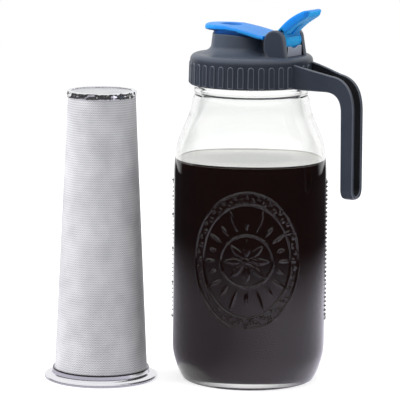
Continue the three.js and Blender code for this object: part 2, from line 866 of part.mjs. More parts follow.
function filterEndRim() {
  const low = filterHeight - rimHeight;
  const inner = meshRadiusAt(low) + seatGap;
  const outer = inner + rimWall;
  const lipInner = filterTipRadius - rimLipWidth;
  const points = [
    at(inner, low),
    at(outer, low),
    at(outer, filterHeight - rimCorner),
    at(outer - rimCorner, filterHeight),
    at(lipInner, filterHeight),
    at(lipInner, filterHeight - rimLip),
    at(inner, filterHeight - rimLip),
    at(inner, low),
  ];
  return revolve(points, filterSteps);
}

function filterEndDisc() {
  const high = meshEnd;
  return disc(meshRadiusAt(high - endThickness) - meshWall - seatGap - rimWall / 2, high - endThickness, high, filterSteps);
}

// The whole, with its origin in the middle of its footprint

const filter = new THREE.Group();
filter.add(
  piece("filter_flange", filterFlange(), "polishedSteel"),
  piece("filter_mesh", filterMesh(), "meshSteel"),
  piece("filter_end_rim", filterEndRim(), "polishedSteel"),
  piece("filter_end_disc", filterEndDisc(), "polishedSteel"),
);
filter.position.set(
  standApart * Math.cos(toRadians(filterBearing)),
  standApart * Math.sin(toRadians(filterBearing)),
  0,
);

const model = new THREE.Group();
model.add(
  piece("glass_jar", glassJar(), "glass"),
  piece("coffee", coffee(), "coffee"),
  piece("lid_seal", lidSeal(), "silicone"),
  piece("screw_lid", screwLid(), "slatePlastic"),
  piece("carry_handle", carryHandle(), "slatePlastic"),
  piece("hinge_block", hingeBlock(), "palePlastic"),
  piece("flip_cap", flipCap(), "bluePlastic"),
  piece("spout_stopper", spoutStopper(), "silicone"),
  filter,
);

const box = new THREE.Box3().setFromObject(model);
const middle = box.getCenter(new THREE.Vector3());
model.position.set(-middle.x, -middle.y, -box.min.z);

export default model;
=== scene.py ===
from math import atan2, cos, hypot, pi, radians, sin, sqrt

import bmesh
import bpy
from mathutils import Matrix, Vector


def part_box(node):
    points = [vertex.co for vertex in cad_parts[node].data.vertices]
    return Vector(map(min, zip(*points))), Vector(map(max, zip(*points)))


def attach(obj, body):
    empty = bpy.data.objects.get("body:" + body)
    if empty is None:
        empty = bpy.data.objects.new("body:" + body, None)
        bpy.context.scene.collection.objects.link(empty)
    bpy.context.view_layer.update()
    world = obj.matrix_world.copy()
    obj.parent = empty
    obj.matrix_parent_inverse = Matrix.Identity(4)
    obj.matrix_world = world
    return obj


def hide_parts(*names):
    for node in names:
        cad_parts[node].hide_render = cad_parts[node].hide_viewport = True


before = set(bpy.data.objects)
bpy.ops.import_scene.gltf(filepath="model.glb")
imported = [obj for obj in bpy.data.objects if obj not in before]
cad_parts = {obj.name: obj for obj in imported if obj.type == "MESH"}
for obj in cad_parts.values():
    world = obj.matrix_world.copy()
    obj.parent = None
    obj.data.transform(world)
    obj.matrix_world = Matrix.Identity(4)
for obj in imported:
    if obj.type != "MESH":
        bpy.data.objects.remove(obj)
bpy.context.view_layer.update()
scene = bpy.context.scene
mm = 0.001  # sizes below are in millimetres, Blender's in metres


def axisOf(node):
    low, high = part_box(node)
    axis = (low + high) / 2 / mm
    axis.z = 0
    return axis


jarAxis, filterAxis = axisOf("lid_seal"), axisOf("filter_flange")


# Camera
cameraSettings = {
    "place": (967.4, -1750.9, 452.1),  # from the middle of the jar's foot
    "heading": 30,  # degrees that the view turns from straight along +Y
    "pitch": 8.995,  # degrees below the horizon
    "roll": 0.516,
    "lens": 241.65,
    "sensor": 36,
    "seesTo": 60,  # metres
}


def makeCamera(settings):
    heading, pitch = radians(settings["heading"]), radians(settings["pitch"])
    turned = Matrix.Rotation(heading, 4, "Z") @ Matrix.Rotation(pi / 2 - pitch, 4, "X")
    rolled = turned @ Matrix.Rotation(radians(settings["roll"]), 4, "Z")
    camera = bpy.data.objects.new("camera", bpy.data.cameras.new("camera"))
    camera.data.lens = settings["lens"]
    camera.data.sensor_width = settings["sensor"]
    camera.data.clip_end = settings["seesTo"]
    camera.matrix_world = Matrix.Translation((jarAxis + Vector(settings["place"])) * mm) @ rolled
    scene.collection.objects.link(camera)
    scene.camera = camera


makeCamera(cameraSettings)
print("camera ready")


# Shader helpers
class Wire:
    # a socket that can stand in sums: wire * 2 + 1 adds its Math nodes
    def __init__(self, look, socket):
        self.look, self.socket = look, socket

    def sum(self, operation, *others, clamp=False):
        inputs = {0: self, **{i + 1: other for i, other in enumerate(others)}}
        return self.look.node("Math", inputs, operation=operation, use_clamp=clamp)

    def __add__(self, other):
        return self.sum("ADD", other)

    def __sub__(self, other):
        return self.sum("SUBTRACT", other)

    def __rsub__(self, other):
        return self.look.node("Math", {0: other, 1: self}, operation="SUBTRACT")

    def __mul__(self, other):
        return self.sum("MULTIPLY", other)

    __radd__, __rmul__ = __add__, __mul__

    def __truediv__(self, other):
        return self.sum("DIVIDE", other)

    def clamped(self):
        return self.sum("ADD", 0, clamp=True)

    def ramp(self, low, high, first=0, last=1):
        # rises smoothly from first to last as the value goes from low to high
        inputs = {0: self, 1: low, 2: high, 3: first, 4: last}
        return self.look.node("MapRange", inputs, interpolation_type="SMOOTHSTEP")


class Look:
    def __init__(self, name, tree=None):
        self.material = None
        if tree is None:
            self.material = bpy.data.materials.new(name)
            self.material.use_nodes = True
            tree = self.material.node_tree
        self.tree = tree
        self.tree.nodes.clear()

    def node(self, kind, inputs=None, out=0, **settings):
        made = self.tree.nodes.new("ShaderNode" + kind)
        for key, value in settings.items():
            setattr(made, key, value)
        for key, value in (inputs or {}).items():
            if isinstance(value, Wire):
                self.tree.links.new(value.socket, made.inputs[key])
            else:
                made.inputs[key].default_value = value
        return Wire(self, made.outputs[out]) if made.outputs else None

    def place(self, centre=(0, 0, 0)):
        # object coordinates in millimetres about a centre
        raw = self.node("TexCoord", out="Object")
        scaled = self.node("VectorMath", {0: raw, "Scale": 1 / mm}, operation="SCALE")
        return self.node("VectorMath", {0: scaled, 1: tuple(centre)}, operation="SUBTRACT")

    def parts(self, vector):
        split = self.node("SeparateXYZ", {0: vector}).socket.node
        return [Wire(self, socket) for socket in split.outputs]

    def noise(self, place, scale, detail=2, stretch=(1, 1, 1)):
        where = self.node("VectorMath", {0: place, 1: stretch}, operation="MULTIPLY")
        return self.node("TexNoise", {"Vector": where, "Scale": scale, "Detail": detail, "Roughness": 0.5})

    def mixed(self, factor, first, second):
        return self.node("Mix", {0: factor, 6: shade(first), 7: shade(second)}, out=2, data_type="RGBA")

    def bump(self, height, distance, strength=1.0):
        return self.node("Bump", {"Height": height, "Distance": distance, "Strength": strength})

    def glow(self, strength, colour=(255, 255, 255)):
        return self.node("Emission", {"Color": shade(colour), "Strength": strength})

    def finish(self, inputs):
        self.node("OutputMaterial", {"Surface": self.node("BsdfPrincipled", inputs)})
        return self.material


def placed(name, bm):
    # turns a mesh being built into an object of the scene
    mesh = bpy.data.meshes.new(name)
    bm.to_mesh(mesh)
    bm.free()
    made = bpy.data.objects.new(name, mesh)
    scene.collection.objects.link(made)
    return made


def shade(colour):
    # an (r, g, b) of 0-255 as shown on screen becomes a linear colour; wires pass through
    if isinstance(colour, Wire):
        return colour
    linear = [c / 255 / 12.92 if c <= 10 else ((c / 255 + 0.055) / 1.055) ** 2.4 for c in colour]
    return (*linear, 1)


# Studio
studioSettings = {
    "sky": 1.22,  # light from above, and the same from the sides
    "sides": 0.22,
    "skyHeights": (-0.1, 0.9),
    "frontBearing": -61,  # degrees, from the jar to the camera
    "frontDark": 0.04,  # how bright the dark side of the room looks in a reflection
    "darkAhead": (-0.75, -0.5),  # where it starts, as the cosine of a bearing from the camera's
    "darkTop": (0.25, 0.5),  # and how high it goes, as a sine
    "darkFoot": (34, 46),  # the floor looks dark from here on, and so does a strip behind the jar
    "stripAhead": (-0.98, -0.9),
    "stripFar": (1480, 1640),
    "darkTint": (240, 236, 250),
    "nearLeft": 0.58,  # how bright the floor near the object looks, on the camera's left and right
    "nearRight": 1.35,
    "nearSides": (-0.45, 0.75),
    "nearFar": (300, 680),
    "throughGlass": 1.1,  # the white behind clear glass, which swallows a little of it
    "floorColour": (190, 190, 192),
    "floorGlow": 0.72,
    "floorDrop": 0.2,
    "floorFar": 9000,
    "floorWhite": (700, 2500),  # it turns plain white between these distances
}
lampSettings = {
    "key": {"place": (-1200, -750, 800), "target": (-40, 0, 120), "size": (900, 900), "power": 21.0},
    "rim": {"place": (1300, 150, 600), "target": (60, 20, 150), "size": (500, 900), "power": 2.5},
}


def areaLight(name, place, target, size, power):
    light = bpy.data.lights.new(name, "AREA")
    light.shape = "RECTANGLE"
    light.size, light.size_y = size[0] * mm, size[1] * mm
    light.energy = power
    lamp = bpy.data.objects.new(name, light)
    lamp.location = Vector(place) * mm
    lamp.rotation_euler = (Vector(target) - Vector(place)).to_track_quat("-Z", "Y").to_euler()
    scene.collection.objects.link(lamp)
    lamp.visible_glossy = lamp.visible_transmission = False  # glass and gloss show the room, not the lamps


def roomRays(look):
    # rays that see the white room, and those that have met a shiny surface on their way
    rays = look.node("LightPath").socket.node
    names = ("Is Camera Ray", "Is Glossy Ray", "Is Transmission Ray", "Glossy Depth")
    direct, glossy, through, depth = (Wire(look, rays.outputs[name]) for name in names)
    mirrored = depth.sum("GREATER_THAN", 0.5)
    return (direct + glossy + through).clamped(), mirrored, through * (1 - mirrored)


def makeStudio(settings):
    world = scene.world = bpy.data.worlds.new("studio")
    world.use_nodes = True
    look = Look("studio", world.node_tree)
    seen, mirrored, through = roomRays(look)
    x, y, z = look.parts(look.node("TexCoord", out="Generated"))
    front = radians(settings["frontBearing"])
    ahead = x * cos(front) + y * sin(front)
    dark = ahead.ramp(*settings["darkAhead"]) * (1 - z.ramp(*settings["darkTop"]))
    dark = dark * mirrored * (1 - settings["frontDark"])
    fill = z.ramp(*settings["skyHeights"], settings["sides"], settings["sky"])
    strength = (1 - seen) * fill + seen * (1 - dark) * (1 + through * (settings["throughGlass"] - 1))
    background = look.node("Background", {"Color": (1, 1, 1, 1), "Strength": strength})
    look.node("OutputWorld", {"Surface": background})
    for name, lamp in lampSettings.items():
        areaLight(name, **lamp)


def makeFloor(settings):
    bm = bmesh.new()
    bmesh.ops.create_circle(bm, cap_ends=True, segments=96, radius=settings["floorFar"] * mm)
    bmesh.ops.translate(bm, verts=bm.verts, vec=(0, 0, -settings["floorDrop"] * mm))
    floor = placed("floor", bm)
    look = Look("floor")
    seen, mirrored, through = roomRays(look)
    x, y, z = look.parts(look.place())
    far = (x * x + y * y).sum("SQRT")
    front = radians(settings["frontBearing"])
    ahead = (x * cos(front) + y * sin(front)) / far
    diffuse = look.node("BsdfDiffuse", {"Color": shade(settings["floorColour"])})
    lit = look.node("AddShader", {0: diffuse, 1: look.glow(seen * settings["floorGlow"])})
    white = look.glow(1 + through * (settings["throughGlass"] - 1))
    lit = look.node("MixShader", {0: seen * far.ramp(*settings["floorWhite"]), 1: lit, 2: white})
    side = (y * cos(front) - x * sin(front)) / far
    near = side.ramp(*settings["nearSides"], settings["nearLeft"], settings["nearRight"])
    dim = settings["frontDark"] + near * (1 - far.ramp(*settings["nearFar"]))
    dark = look.glow(dim, settings["darkTint"])
    wide = ahead.ramp(*settings["darkAhead"])
    strip = ahead.ramp(*settings["stripAhead"]) * (1 - far.ramp(*settings["stripFar"]))
    factor = mirrored * far.ramp(*settings["darkFoot"]) * (wide + strip - wide * strip)
    look.node("OutputMaterial", {"Surface": look.node("MixShader", {0: factor, 1: lit, 2: dark})})
    floor.data.materials.append(look.material)


makeStudio(studioSettings)
makeFloor(studioSettings)
print("studio ready")


# Shape helpers, in millimetres about a piece's own upright axis
weld = 0.003


def smoothstep(low, high, value):
    share = min(max((value - low) / (high - low), 0), 1)
    return share * share * (3 - 2 * share)


def line(first, last, steps):
    return [tuple(a + (b - a) * i / steps for a, b in zip(first, last)) for i in range(steps + 1)]


def arc(centre, radius, start, end, steps):
    angles = [radians(start + (end - start) * i / steps) for i in range(steps + 1)]
    return [(centre[0] + radius * cos(a), centre[1] + radius * sin(a)) for a in angles]


def bend(first, control, last, steps):
    # a curve that leaves the first point towards the control point
    shares = [i / steps for i in range(steps + 1)]
    return [
        tuple((1 - t) ** 2 * a + 2 * t * (1 - t) * b + t * t * c for a, b, c in zip(first, control, last))
        for t in shares
    ]


def smoothLine(points, steps):
    # a smooth line through every point
    ends = [points[0], *points, points[-1]]
    path = []
    for a, b, c, d in zip(ends, ends[1:], ends[2:], ends[3:]):
        for i in range(steps):
            t = i / steps
            path.append(tuple(
                0.5 * (
                    2 * q + (r - p) * t + (2 * p - 5 * q + 4 * r - s) * t * t
                    + (3 * q - p - 3 * r + s) * t ** 3
                )
                for p, q, r, s in zip(a, b, c, d)
            ))
    return [*path, points[-1]]


def heightOver(curve, x):
    # how high a bend (first, control, last) runs over x
    (x0, z0), (x1, z1), (x2, z2) = curve
    square, linear = x0 - 2 * x1 + x2, 2 * (x1 - x0)
    t = (sqrt(linear ** 2 + 4 * square * (x - x0)) - linear) / (2 * square)
    return (1 - t) ** 2 * z0 + 2 * t * (1 - t) * z1 + t * t * z2


def chain(*lines):
    # lines one after the other, without the points that repeat
    path = []
    for point in (point for part in lines for point in part):
        if not path or hypot(point[0] - path[-1][0], point[1] - path[-1][1]) > 0.001:
            path.append(point)
    return path


def outward(bm):
    bmesh.ops.recalc_face_normals(bm, faces=bm.faces)
    return bm


def tidied(bm):
    bmesh.ops.remove_doubles(bm, verts=bm.verts, dist=weld)
    return outward(bm)


def spun(profile, steps, closed=True):
    # turns a line of (radius, height) about the axis; an open line starts and ends on the axis
    bm = bmesh.new()
    verts = [bm.verts.new((radius, 0, height)) for radius, height in profile]
    pairs = list(zip(verts, verts[1:] + verts[:1]))[: None if closed else -1]
    edges = [bm.edges.new(pair) for pair in pairs]
    bmesh.ops.spin(
        bm, geom=verts + edges, axis=(0, 0, 1), cent=(0, 0, 0), angle=2 * pi, steps=steps, use_merge=True
    )
    return tidied(bm)


def softened(bm, offset, segments=2, angle=50, where=None):
    # rounds the edges that are sharper than an angle, and gives the rounded faces look 1: a painted
    # highlight
    sharp = [e for e in bm.edges if e.calc_face_angle(0) > radians(angle) and (where is None or where(e))]
    rounded = bmesh.ops.bevel(
        bm, geom=sharp, offset=offset, segments=segments, profile=0.5, affect="EDGES", material=-1,
        clamp_overlap=True,
    )
    for face in rounded["faces"]:
        face.material_index = 1
    return bm


def plate(outline, low, high, offset, segments=2):
    # an outline seen from the side (x, z), from low to high along y, with rounded edges
    bm = bmesh.new()
    face = bm.faces.new([bm.verts.new((x, low, z)) for x, z in outline])
    pushed = bmesh.ops.extrude_face_region(bm, geom=[face])["geom"]
    verts = [item for item in pushed if isinstance(item, bmesh.types.BMVert)]
    bmesh.ops.translate(bm, verts=verts, vec=(0, high - low, 0))
    return softened(outward(bm), offset, segments)


def slab(columns, rows, upper, lower):
    # a closed sheet: both rules give a point for shares u and v of its length and width
    bm = bmesh.new()
    bmesh.ops.create_grid(bm, x_segments=columns, y_segments=rows, size=0.5)
    pushed = bmesh.ops.extrude_face_region(bm, geom=bm.faces[:])["geom"]
    bmesh.ops.translate(bm, verts=[v for v in pushed if isinstance(v, bmesh.types.BMVert)], vec=(0, 0, 1))
    for vert in bm.verts:
        rule = upper if vert.co.z > 0.5 else lower
        vert.co = rule(vert.co.x + 0.5, vert.co.y + 0.5)
    return tidied(bm)


def painted(bm, rule):
    # gives each face the number of its look
    for face in bm.faces:
        face.material_index = rule(face, face.calc_center_median())
    return bm


def joined(*parts):
    whole = bmesh.new()
    for part in parts:
        mesh = bpy.data.meshes.new("part")
        part.to_mesh(mesh)
        part.free()
        whole.from_mesh(mesh)
        bpy.data.meshes.remove(mesh)
    return whole


def finished(name, bm, looks, body, node, sharp=40, even=False):
    # moves the mesh to its place, hangs it under its body and hides the CAD node that it stands for
    axis = filterAxis if body == "filter" else jarAxis
    for face in bm.faces:
        face.smooth = True
        face.material_index = min(face.material_index, len(looks) - 1)
    for edge in bm.edges:
        edge.smooth = edge.calc_face_angle(0) < radians(sharp)
    for vert in bm.verts:
        vert.co = (vert.co + axis) * mm
    loose = sum(not edge.is_manifold for edge in bm.edges)
    piece = placed(name, bm)
    for look in looks:
        piece.data.materials.append(look)
    if even:
        piece.modifiers.new("even shading", "WEIGHTED_NORMAL").keep_sharp = True
    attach(piece, body)
    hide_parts(node)
    piece.visible_glossy = body != "filter"  # the dark jar does not mirror the filter
    print(name, len(piece.data.polygons), "faces", loose, "open edges")


# Materials
def glassLook():
    look = Look("clear glass")
    place = look.place(jarAxis)
    ripple = look.noise(place, 0.02, detail=1, stretch=(1, 1, 0.5))
    return look.finish({
        "Base Color": shade((252, 253, 252)),
        "Roughness": 0.0,
        "IOR": 1.5,
        "Transmission Weight": 1.0,
        "Normal": look.bump(ripple, 0.25 * mm, 0.3),
    })


def coffeeLook(settings):
    look = Look("cold brew")
    place = look.place(jarAxis)
    x, y, z = look.parts(place)
    out = (x * x + y * y).sum("SQRT")
    cloud = look.noise(place, 0.03, detail=3)
    surface = z.ramp(settings["top"] - 1.6, settings["top"] - 1.0)
    froth = out.ramp(*settings["frothReach"]) * surface * cloud.ramp(0.2, 0.7, 0.75, 1)
    return look.finish({
        "Base Color": look.mixed(froth, look.mixed(cloud, *settings["liquid"]), settings["froth"]),
        "Roughness": 0.06,
        "IOR": 1.06,
        "Metallic": surface * 0.95,  # bright when seen flat, dark from above
        "Coat Weight": surface,
        "Coat IOR": 1.6,
        "Coat Roughness": 0.05,
    })


def plasticLook(name, colour, roughness, grain=0.35, depth=0.05, spread=5, upper=None, **extra):
    # moulded plastic with a fine spark-eroded grain and a slight unevenness of tone; upper is a colour
    # that it fades to between two heights, which the lid uses for painted light from above
    look = Look(name)
    place = look.place(jarAxis)
    patch = look.noise(place, 0.05, detail=3)
    speck = look.noise(place, grain * 4, detail=2)
    darker = tuple(max(c - spread, 0) for c in colour)
    lighter = tuple(min(c + spread, 255) for c in colour)
    tone = look.mixed(patch, darker, lighter)
    if upper:
        paler, low, high = upper
        tone = look.mixed(look.parts(place)[2].ramp(low, high), tone, paler)
    return look.finish({
        "Base Color": tone,
        "Roughness": patch.ramp(0, 1, roughness - 0.04, roughness + 0.05),
        "Normal": look.bump(speck, depth * mm, 0.5),
        **extra,
    })


def polishedLook(name, colour, roughness, metal=1.0, dents=0.0):
    # bright steel with faint turning marks round its axis
    look = Look(name)
    place = look.place(filterAxis)
    x, y, z = look.parts(place)
    out = (x * x + y * y).sum("SQRT")
    marks = look.noise(look.node("CombineXYZ", {0: out, 1: z, 2: 0}), 3.0, detail=2)
    smear = look.noise(place, 0.08, detail=3)
    dent = look.noise(place, 0.2, detail=1)
    return look.finish({
        "Base Color": shade(colour),
        "Metallic": metal,
        "Roughness": smear.ramp(0.3, 0.8, roughness * 0.7, roughness * 1.5),
        "Normal": look.bump(marks * 0.02 + dent * dents, mm, 0.4),
    })


def wovenLook():
    # fine wire cloth: weft wires round the cone and thinner warp wires up it
    look = Look("woven steel")
    place = look.place(filterAxis)
    x, y, z = look.parts(place)
    turn = y.sum("ARCTAN2", x)
    weft = (z * (2 * pi / meshSettings["weftPitch"])).sum("SINE")
    warp = (turn * meshSettings["warpCount"]).sum("SINE")
    weave = weft * 0.25 + weft * warp * 0.5
    patch = look.noise(place, 0.06, detail=3)
    tone = (weave * 0.5 + 0.5 + (patch - 0.5) * 0.5).clamped()
    return look.finish({
        "Base Color": look.mixed(tone, meshSettings["hollow"], meshSettings["wire"]),
        "Metallic": 0.12,
        "Roughness": 0.5,
        "Normal": look.bump(weave, 0.12 * mm, 0.6),
    })


meshSettings = {"weftPitch": 1.75, "warpCount": 104, "hollow": (146, 146, 154), "wire": (252, 252, 254)}
glass = glassLook()
slate = plasticLook("slate plastic", (54, 61, 74), 0.42)
# a darker copy of the slate: painted shade on the lid's sides, painted light from above on its top
slateLidTopLit = plasticLook("slate plastic, lid, painted top light", (46, 52, 63), 0.42, upper=((72, 80, 94), 241.5, 247))
# painted highlight: a lighter copy of the slate for rounded edges and for faces turned to the hinge
slateEdgeHighlight = plasticLook("slate plastic, painted edge highlight", (96, 101, 112), 0.34, spread=7)
# painted highlight on the ears' rounded edges
slateRoundHighlight = plasticLook("slate plastic, rounded edge, painted highlight", (70, 76, 88), 0.38)
# painted shade: a near-black copy of the slate for faces between the ribbons, the ears and beside the
# hinge block
slateShade = plasticLook("slate plastic, shaded side", (20, 21, 26), 0.6)
blueSoft = {
    "depth": 0.02, "Specular IOR Level": 0.35,
    "Subsurface Weight": 0.4, "Subsurface Scale": 5 * mm, "Subsurface Radius": (0.3, 0.7, 1.0),
}
blueMatt = {**blueSoft, "Specular IOR Level": 0.12}
blue = plasticLook("blue plastic", (22, 136, 224), 0.42, **blueSoft)
# painted light: a lighter copy of the blue for the lever's underside, the barrel and rounded edges, as if
# lit through the thin plastic
blueThinLit = plasticLook("blue plastic, painted light in thin parts", (52, 176, 255), 0.5, **blueMatt)
# painted shade in the dimple on the cap's top
blueDishShade = plasticLook("blue plastic, dished, painted shade", (20, 112, 196), 0.45, **blueSoft)
# painted shade under the cap and on the ring below it
blueShade = plasticLook("blue plastic, shaded side", (10, 66, 130), 0.5, **blueSoft)
grey = plasticLook("grey plastic", (152, 158, 171), 0.6, grain=0.5, depth=0.25, spread=9)
# painted highlight on the hinge block's rounded edges
greyEdgeHighlight = plasticLook("grey plastic, painted edge highlight", (172, 178, 188), 0.5, spread=7)
silicone = plasticLook("pale silicone", (214, 214, 210), 0.55)
polished = polishedLook("polished steel", (228, 228, 233), 0.14, metal=0.92)
brushed = polishedLook("brushed steel", (204, 205, 210), 0.3)
# painted shade and a painted dark reflection along the collar's top edge, where it meets the cloth
seamShadeSteel = polishedLook("steel, shaded seam", (70, 66, 66), 0.25)
chrome = polishedLook("chrome", (232, 233, 236), 0.05, metal=0.97, dents=8)
woven = wovenLook()
print("materials ready")


# Glass jar
jarSettings = {
    "height": 240, "body": 57.6, "wall": 2.3, "foot": (43.5, 49.5), "pushUp": 2.5, "heel": 23,
    "shoulder": (158, 216.8), "groove": 42.2, "bead": 42.9, "neck": 41.4, "mouth": 38.1,
    "base": 5.6, "innerHeel": (12.5, 17), "front": radians(297), "square": 0.048, "steps": 120,
    "threadStart": 235.6, "threadPitch": 5.08, "threadTurns": 1.4, "threadHigh": 1.4,
}
shoulderShares = [
    (0, 0), (0.145, 0.03), (0.29, 0.09), (0.39, 0.175), (0.49, 0.31), (0.58, 0.45), (0.67, 0.6),
    (0.75, 0.725), (0.84, 0.82), (0.93, 0.895), (1, 1),
]
reliefSettings = {
    "middle": 99, "proud": 1.2, "circle": 20, "boss": 2.0, "line": 1.1, "oval": (40, 52),
    "rings": (0.98, 0.82), "beads": 52, "beadRing": 0.9, "beadShift": 0.025, "beadSizes": (1.5, 1.1),
    "petals": 8, "petal": (3.4, 13, 4.4),  # start, length and half width
    "rays": 20, "rayStart": 23.5, "rayEnd": 0.79, "shortRay": 0.62, "rayWide": 2.4,
    "ticks": 9, "tickSpacing": 13, "tickLength": 12, "shortTick": 0.6, "fineTicks": 4, "fineTick": 0.4,
    "margin": 1, "cuts": 7, "tickHalf": 9, "tickMargin": 4, "tickCuts": 4,
}


def shoulderLine(low, high, wide, narrow):
    points = [(wide - share * (wide - narrow), low + up * (high - low)) for up, share in shoulderShares]
    return smoothLine(points, 3)


def squareness(angle, z):
    low, high = jarSettings["shoulder"]
    corner = (1 - cos(4 * (angle - jarSettings["front"]))) / 2
    reach = smoothstep(0, jarSettings["heel"], z) * (1 - smoothstep(low, high, z))
    return 1 + jarSettings["square"] * corner * reach


def leafRise(along, across, start, length, wide):
    share = (along - start) / length
    half = 2 * wide * share * (1 - share) if 0 < share < 1 else -1
    return smoothstep(-0.25, 0.55, half - abs(across))


def ridgeRise(off, half):
    return 1 - smoothstep(half - 0.3, half + 0.35, abs(off))


def medallionRise(u, v, sizes):
    # a rosette in a circle, rays by turns long and short, and a beaded oval round them
    reach, angle = hypot(u, v), atan2(v, u)
    wide, tall = sizes["oval"]
    stroke = sizes["line"] / 2
    rises = [ridgeRise(reach - sizes["circle"] + stroke, stroke), ridgeRise(reach, sizes["boss"])]
    start, length, half = sizes["petal"]
    turn = 2 * pi / sizes["petals"]
    off = angle - round(angle / turn) * turn
    rises.append(leafRise(reach * cos(off), reach * sin(off), start, length, half))
    turn = 2 * pi / sizes["rays"]
    index = round(angle / turn)
    off = angle - index * turn
    edge = sizes["rayEnd"] / hypot(cos(index * turn) / wide, sin(index * turn) / tall)
    start = sizes["rayStart"]
    length = (edge - start) * (sizes["shortRay"] if index % 2 else 1)
    rises.append(leafRise(reach * cos(off), reach * sin(off), start, length, sizes["rayWide"]))
    share = hypot(u / wide, v / tall)
    scale = reach / share if share else wide
    rises += [ridgeRise((share - ring) * scale, stroke) for ring in sizes["rings"]]
    turn = 2 * pi / sizes["beads"]
    index = round(atan2(v / tall, u / wide) / turn)
    out = sizes["beadRing"] + sizes["beadShift"] * (1 if index % 2 else -1)
    bead = hypot(u - out * wide * cos(index * turn), v - out * tall * sin(index * turn))
    return max(*rises, ridgeRise(bead, sizes["beadSizes"][index % 2]))


def tickRise(u, v, sizes):
    # plain measuring ticks, by turns long and short
    fine, middle = sizes["fineTicks"], sizes["ticks"] // 2
    spacing = sizes["tickSpacing"] / fine
    index = round(v / spacing) + middle * fine
    if not 0 <= index <= 2 * middle * fine:
        return 0
    share = sizes["fineTick"] if index % fine else sizes["shortTick"] if index // fine % 2 else 1
    start = -sizes["tickLength"] / 2
    inside = min(u - start, start + sizes["tickLength"] * share - u)
    off = v - (index - middle * fine) * spacing
    return smoothstep(-0.4, 0.5, inside) * ridgeRise(off, 0.5)


def panelPlace(co, bearing, sizes):
    turned = (atan2(co.y, co.x) - bearing + pi) % (2 * pi) - pi
    return turned * jarSettings["body"], co.z - sizes["middle"]


def engraved(bm, bearing, half, tall, cuts, rise, sizes, oval=False):
    # splits a panel of the outer wall finely and lifts the pattern out of it
    wall = jarSettings["body"] - jarSettings["wall"] / 2

    def onPanel(vert):
        u, v = panelPlace(vert.co, bearing, sizes)
        inside = hypot(u / half, v / tall) < 1.07 if oval else abs(u) < half and abs(v) < tall
        angle, radius = atan2(vert.co.y, vert.co.x), hypot(vert.co.x, vert.co.y)
        return inside and radius > wall * squareness(angle, vert.co.z)

    edges = [edge for edge in bm.edges if all(onPanel(vert) for vert in edge.verts)]
    bmesh.ops.subdivide_edges(bm, edges=edges, cuts=cuts, use_grid_fill=True)
    for vert in bm.verts:
        if onPanel(vert):
            angle = atan2(vert.co.y, vert.co.x)
            u, v = panelPlace(vert.co, bearing, sizes)
            radius = jarSettings["body"] * squareness(angle, vert.co.z)
            radius += sizes["proud"] * rise(u, v, sizes)
            vert.co.x, vert.co.y = radius * cos(angle), radius * sin(angle)


def threadRise(angle, z, sizes):
    angle = angle % (2 * pi)
    rise = 0
    for lap in range(3):
        turns = angle / (2 * pi) + lap
        off = abs(z - sizes["threadStart"] + sizes["threadPitch"] * turns)
        ends = smoothstep(0, 0.06, turns) * (1 - smoothstep(-0.06, 0, turns - sizes["threadTurns"]))
        rise = max(rise, ends * (1 - smoothstep(0.6, 1.6, off)))
    return rise * sizes["threadHigh"]


def makeJar(sizes):
    inner = sizes["body"] - sizes["wall"]
    low, high = sizes["shoulder"]
    foot, heel, body = sizes["foot"], sizes["heel"], sizes["body"]
    spread = body - foot[1]
    neck, mouth, top = sizes["neck"], sizes["mouth"], sizes["height"]
    bead, groove = sizes["bead"], sizes["groove"]
    (cornerWide, cornerTall), base = sizes["innerHeel"], sizes["base"]
    profile = chain(
        line((0, sizes["pushUp"]), (41, sizes["pushUp"]), 5),
        bend((41, sizes["pushUp"]), (42.6, 0.3), (foot[0] + 1, 0), 4),
        bend((foot[1] - 0.8, 0), (foot[1], 0), (foot[1] + 0.5, 0.75), 2),
        bend((foot[1] + 0.5, 0.75), (foot[1] + spread * 0.51, heel * 0.29), (body - 1.3, heel * 0.75), 12),
        bend((body - 1.3, heel * 0.75), (body, heel * 0.98), (body, heel * 1.25), 6),
        line((body, heel * 1.25), (body, low), 38),
        shoulderLine(low, high, body, groove),
        bend((groove, high), (bead - 0.4, high + 0.5), (bead, high + 1.6), 3),
        bend((bead, high + 3.6), (bead - 0.3, high + 4.8), (neck, high + 5.6), 3),
        line((neck, high + 6), (neck, top - 1.2), 34),
        arc((neck - 1.2, top - 1.2), 1.2, 0, 90, 4),
        arc((mouth + 1.2, top - 1.2), 1.2, 90, 180, 4),
        line((mouth, top - 1.2), (mouth, high), 4),
        shoulderLine(low, high, inner, mouth)[::-1],
        line((inner, low), (inner, base + cornerTall), 6),
        bend((inner, base + cornerTall), (inner - 0.6, base), (inner - cornerWide, base), 12),
        line((inner - cornerWide, base), (0, base), 4),
    )
    bm = spun(profile, sizes["steps"], closed=False)
    for vert in bm.verts:
        angle, radius = atan2(vert.co.y, vert.co.x), hypot(vert.co.x, vert.co.y)
        grown = radius * squareness(angle, vert.co.z)
        if abs(radius - neck) < 0.01 and vert.co.z > high + 6:
            grown += threadRise(angle, vert.co.z, sizes)
        vert.co.x, vert.co.y = grown * cos(angle), grown * sin(angle)
    relief, front = reliefSettings, sizes["front"]
    half, tall = [reach + relief["margin"] for reach in relief["oval"]]
    engraved(bm, front, half, tall, relief["cuts"], medallionRise, relief, oval=True)
    half, tall = relief["tickHalf"], relief["oval"][1] + relief["tickMargin"]
    for side in (-1, 1):
        engraved(bm, front + side * pi / 2, half, tall, relief["tickCuts"], tickRise, relief)
    outward(bm)
    finished("jar_glass", bm, [glass], "jar", "glass_jar", sharp=80)


makeJar(jarSettings)


# Coffee
coffeeSettings = {
    "wetting": 0.06, "top": 168.7, "meniscus": 3.5, "sink": 0.6,
    "liquid": ((24, 11, 10), (33, 17, 15)), "froth": (216, 207, 197),
    "frothReach": (18, 52, 0.08, 0.8),  # from and to these radii, and how much of it
}


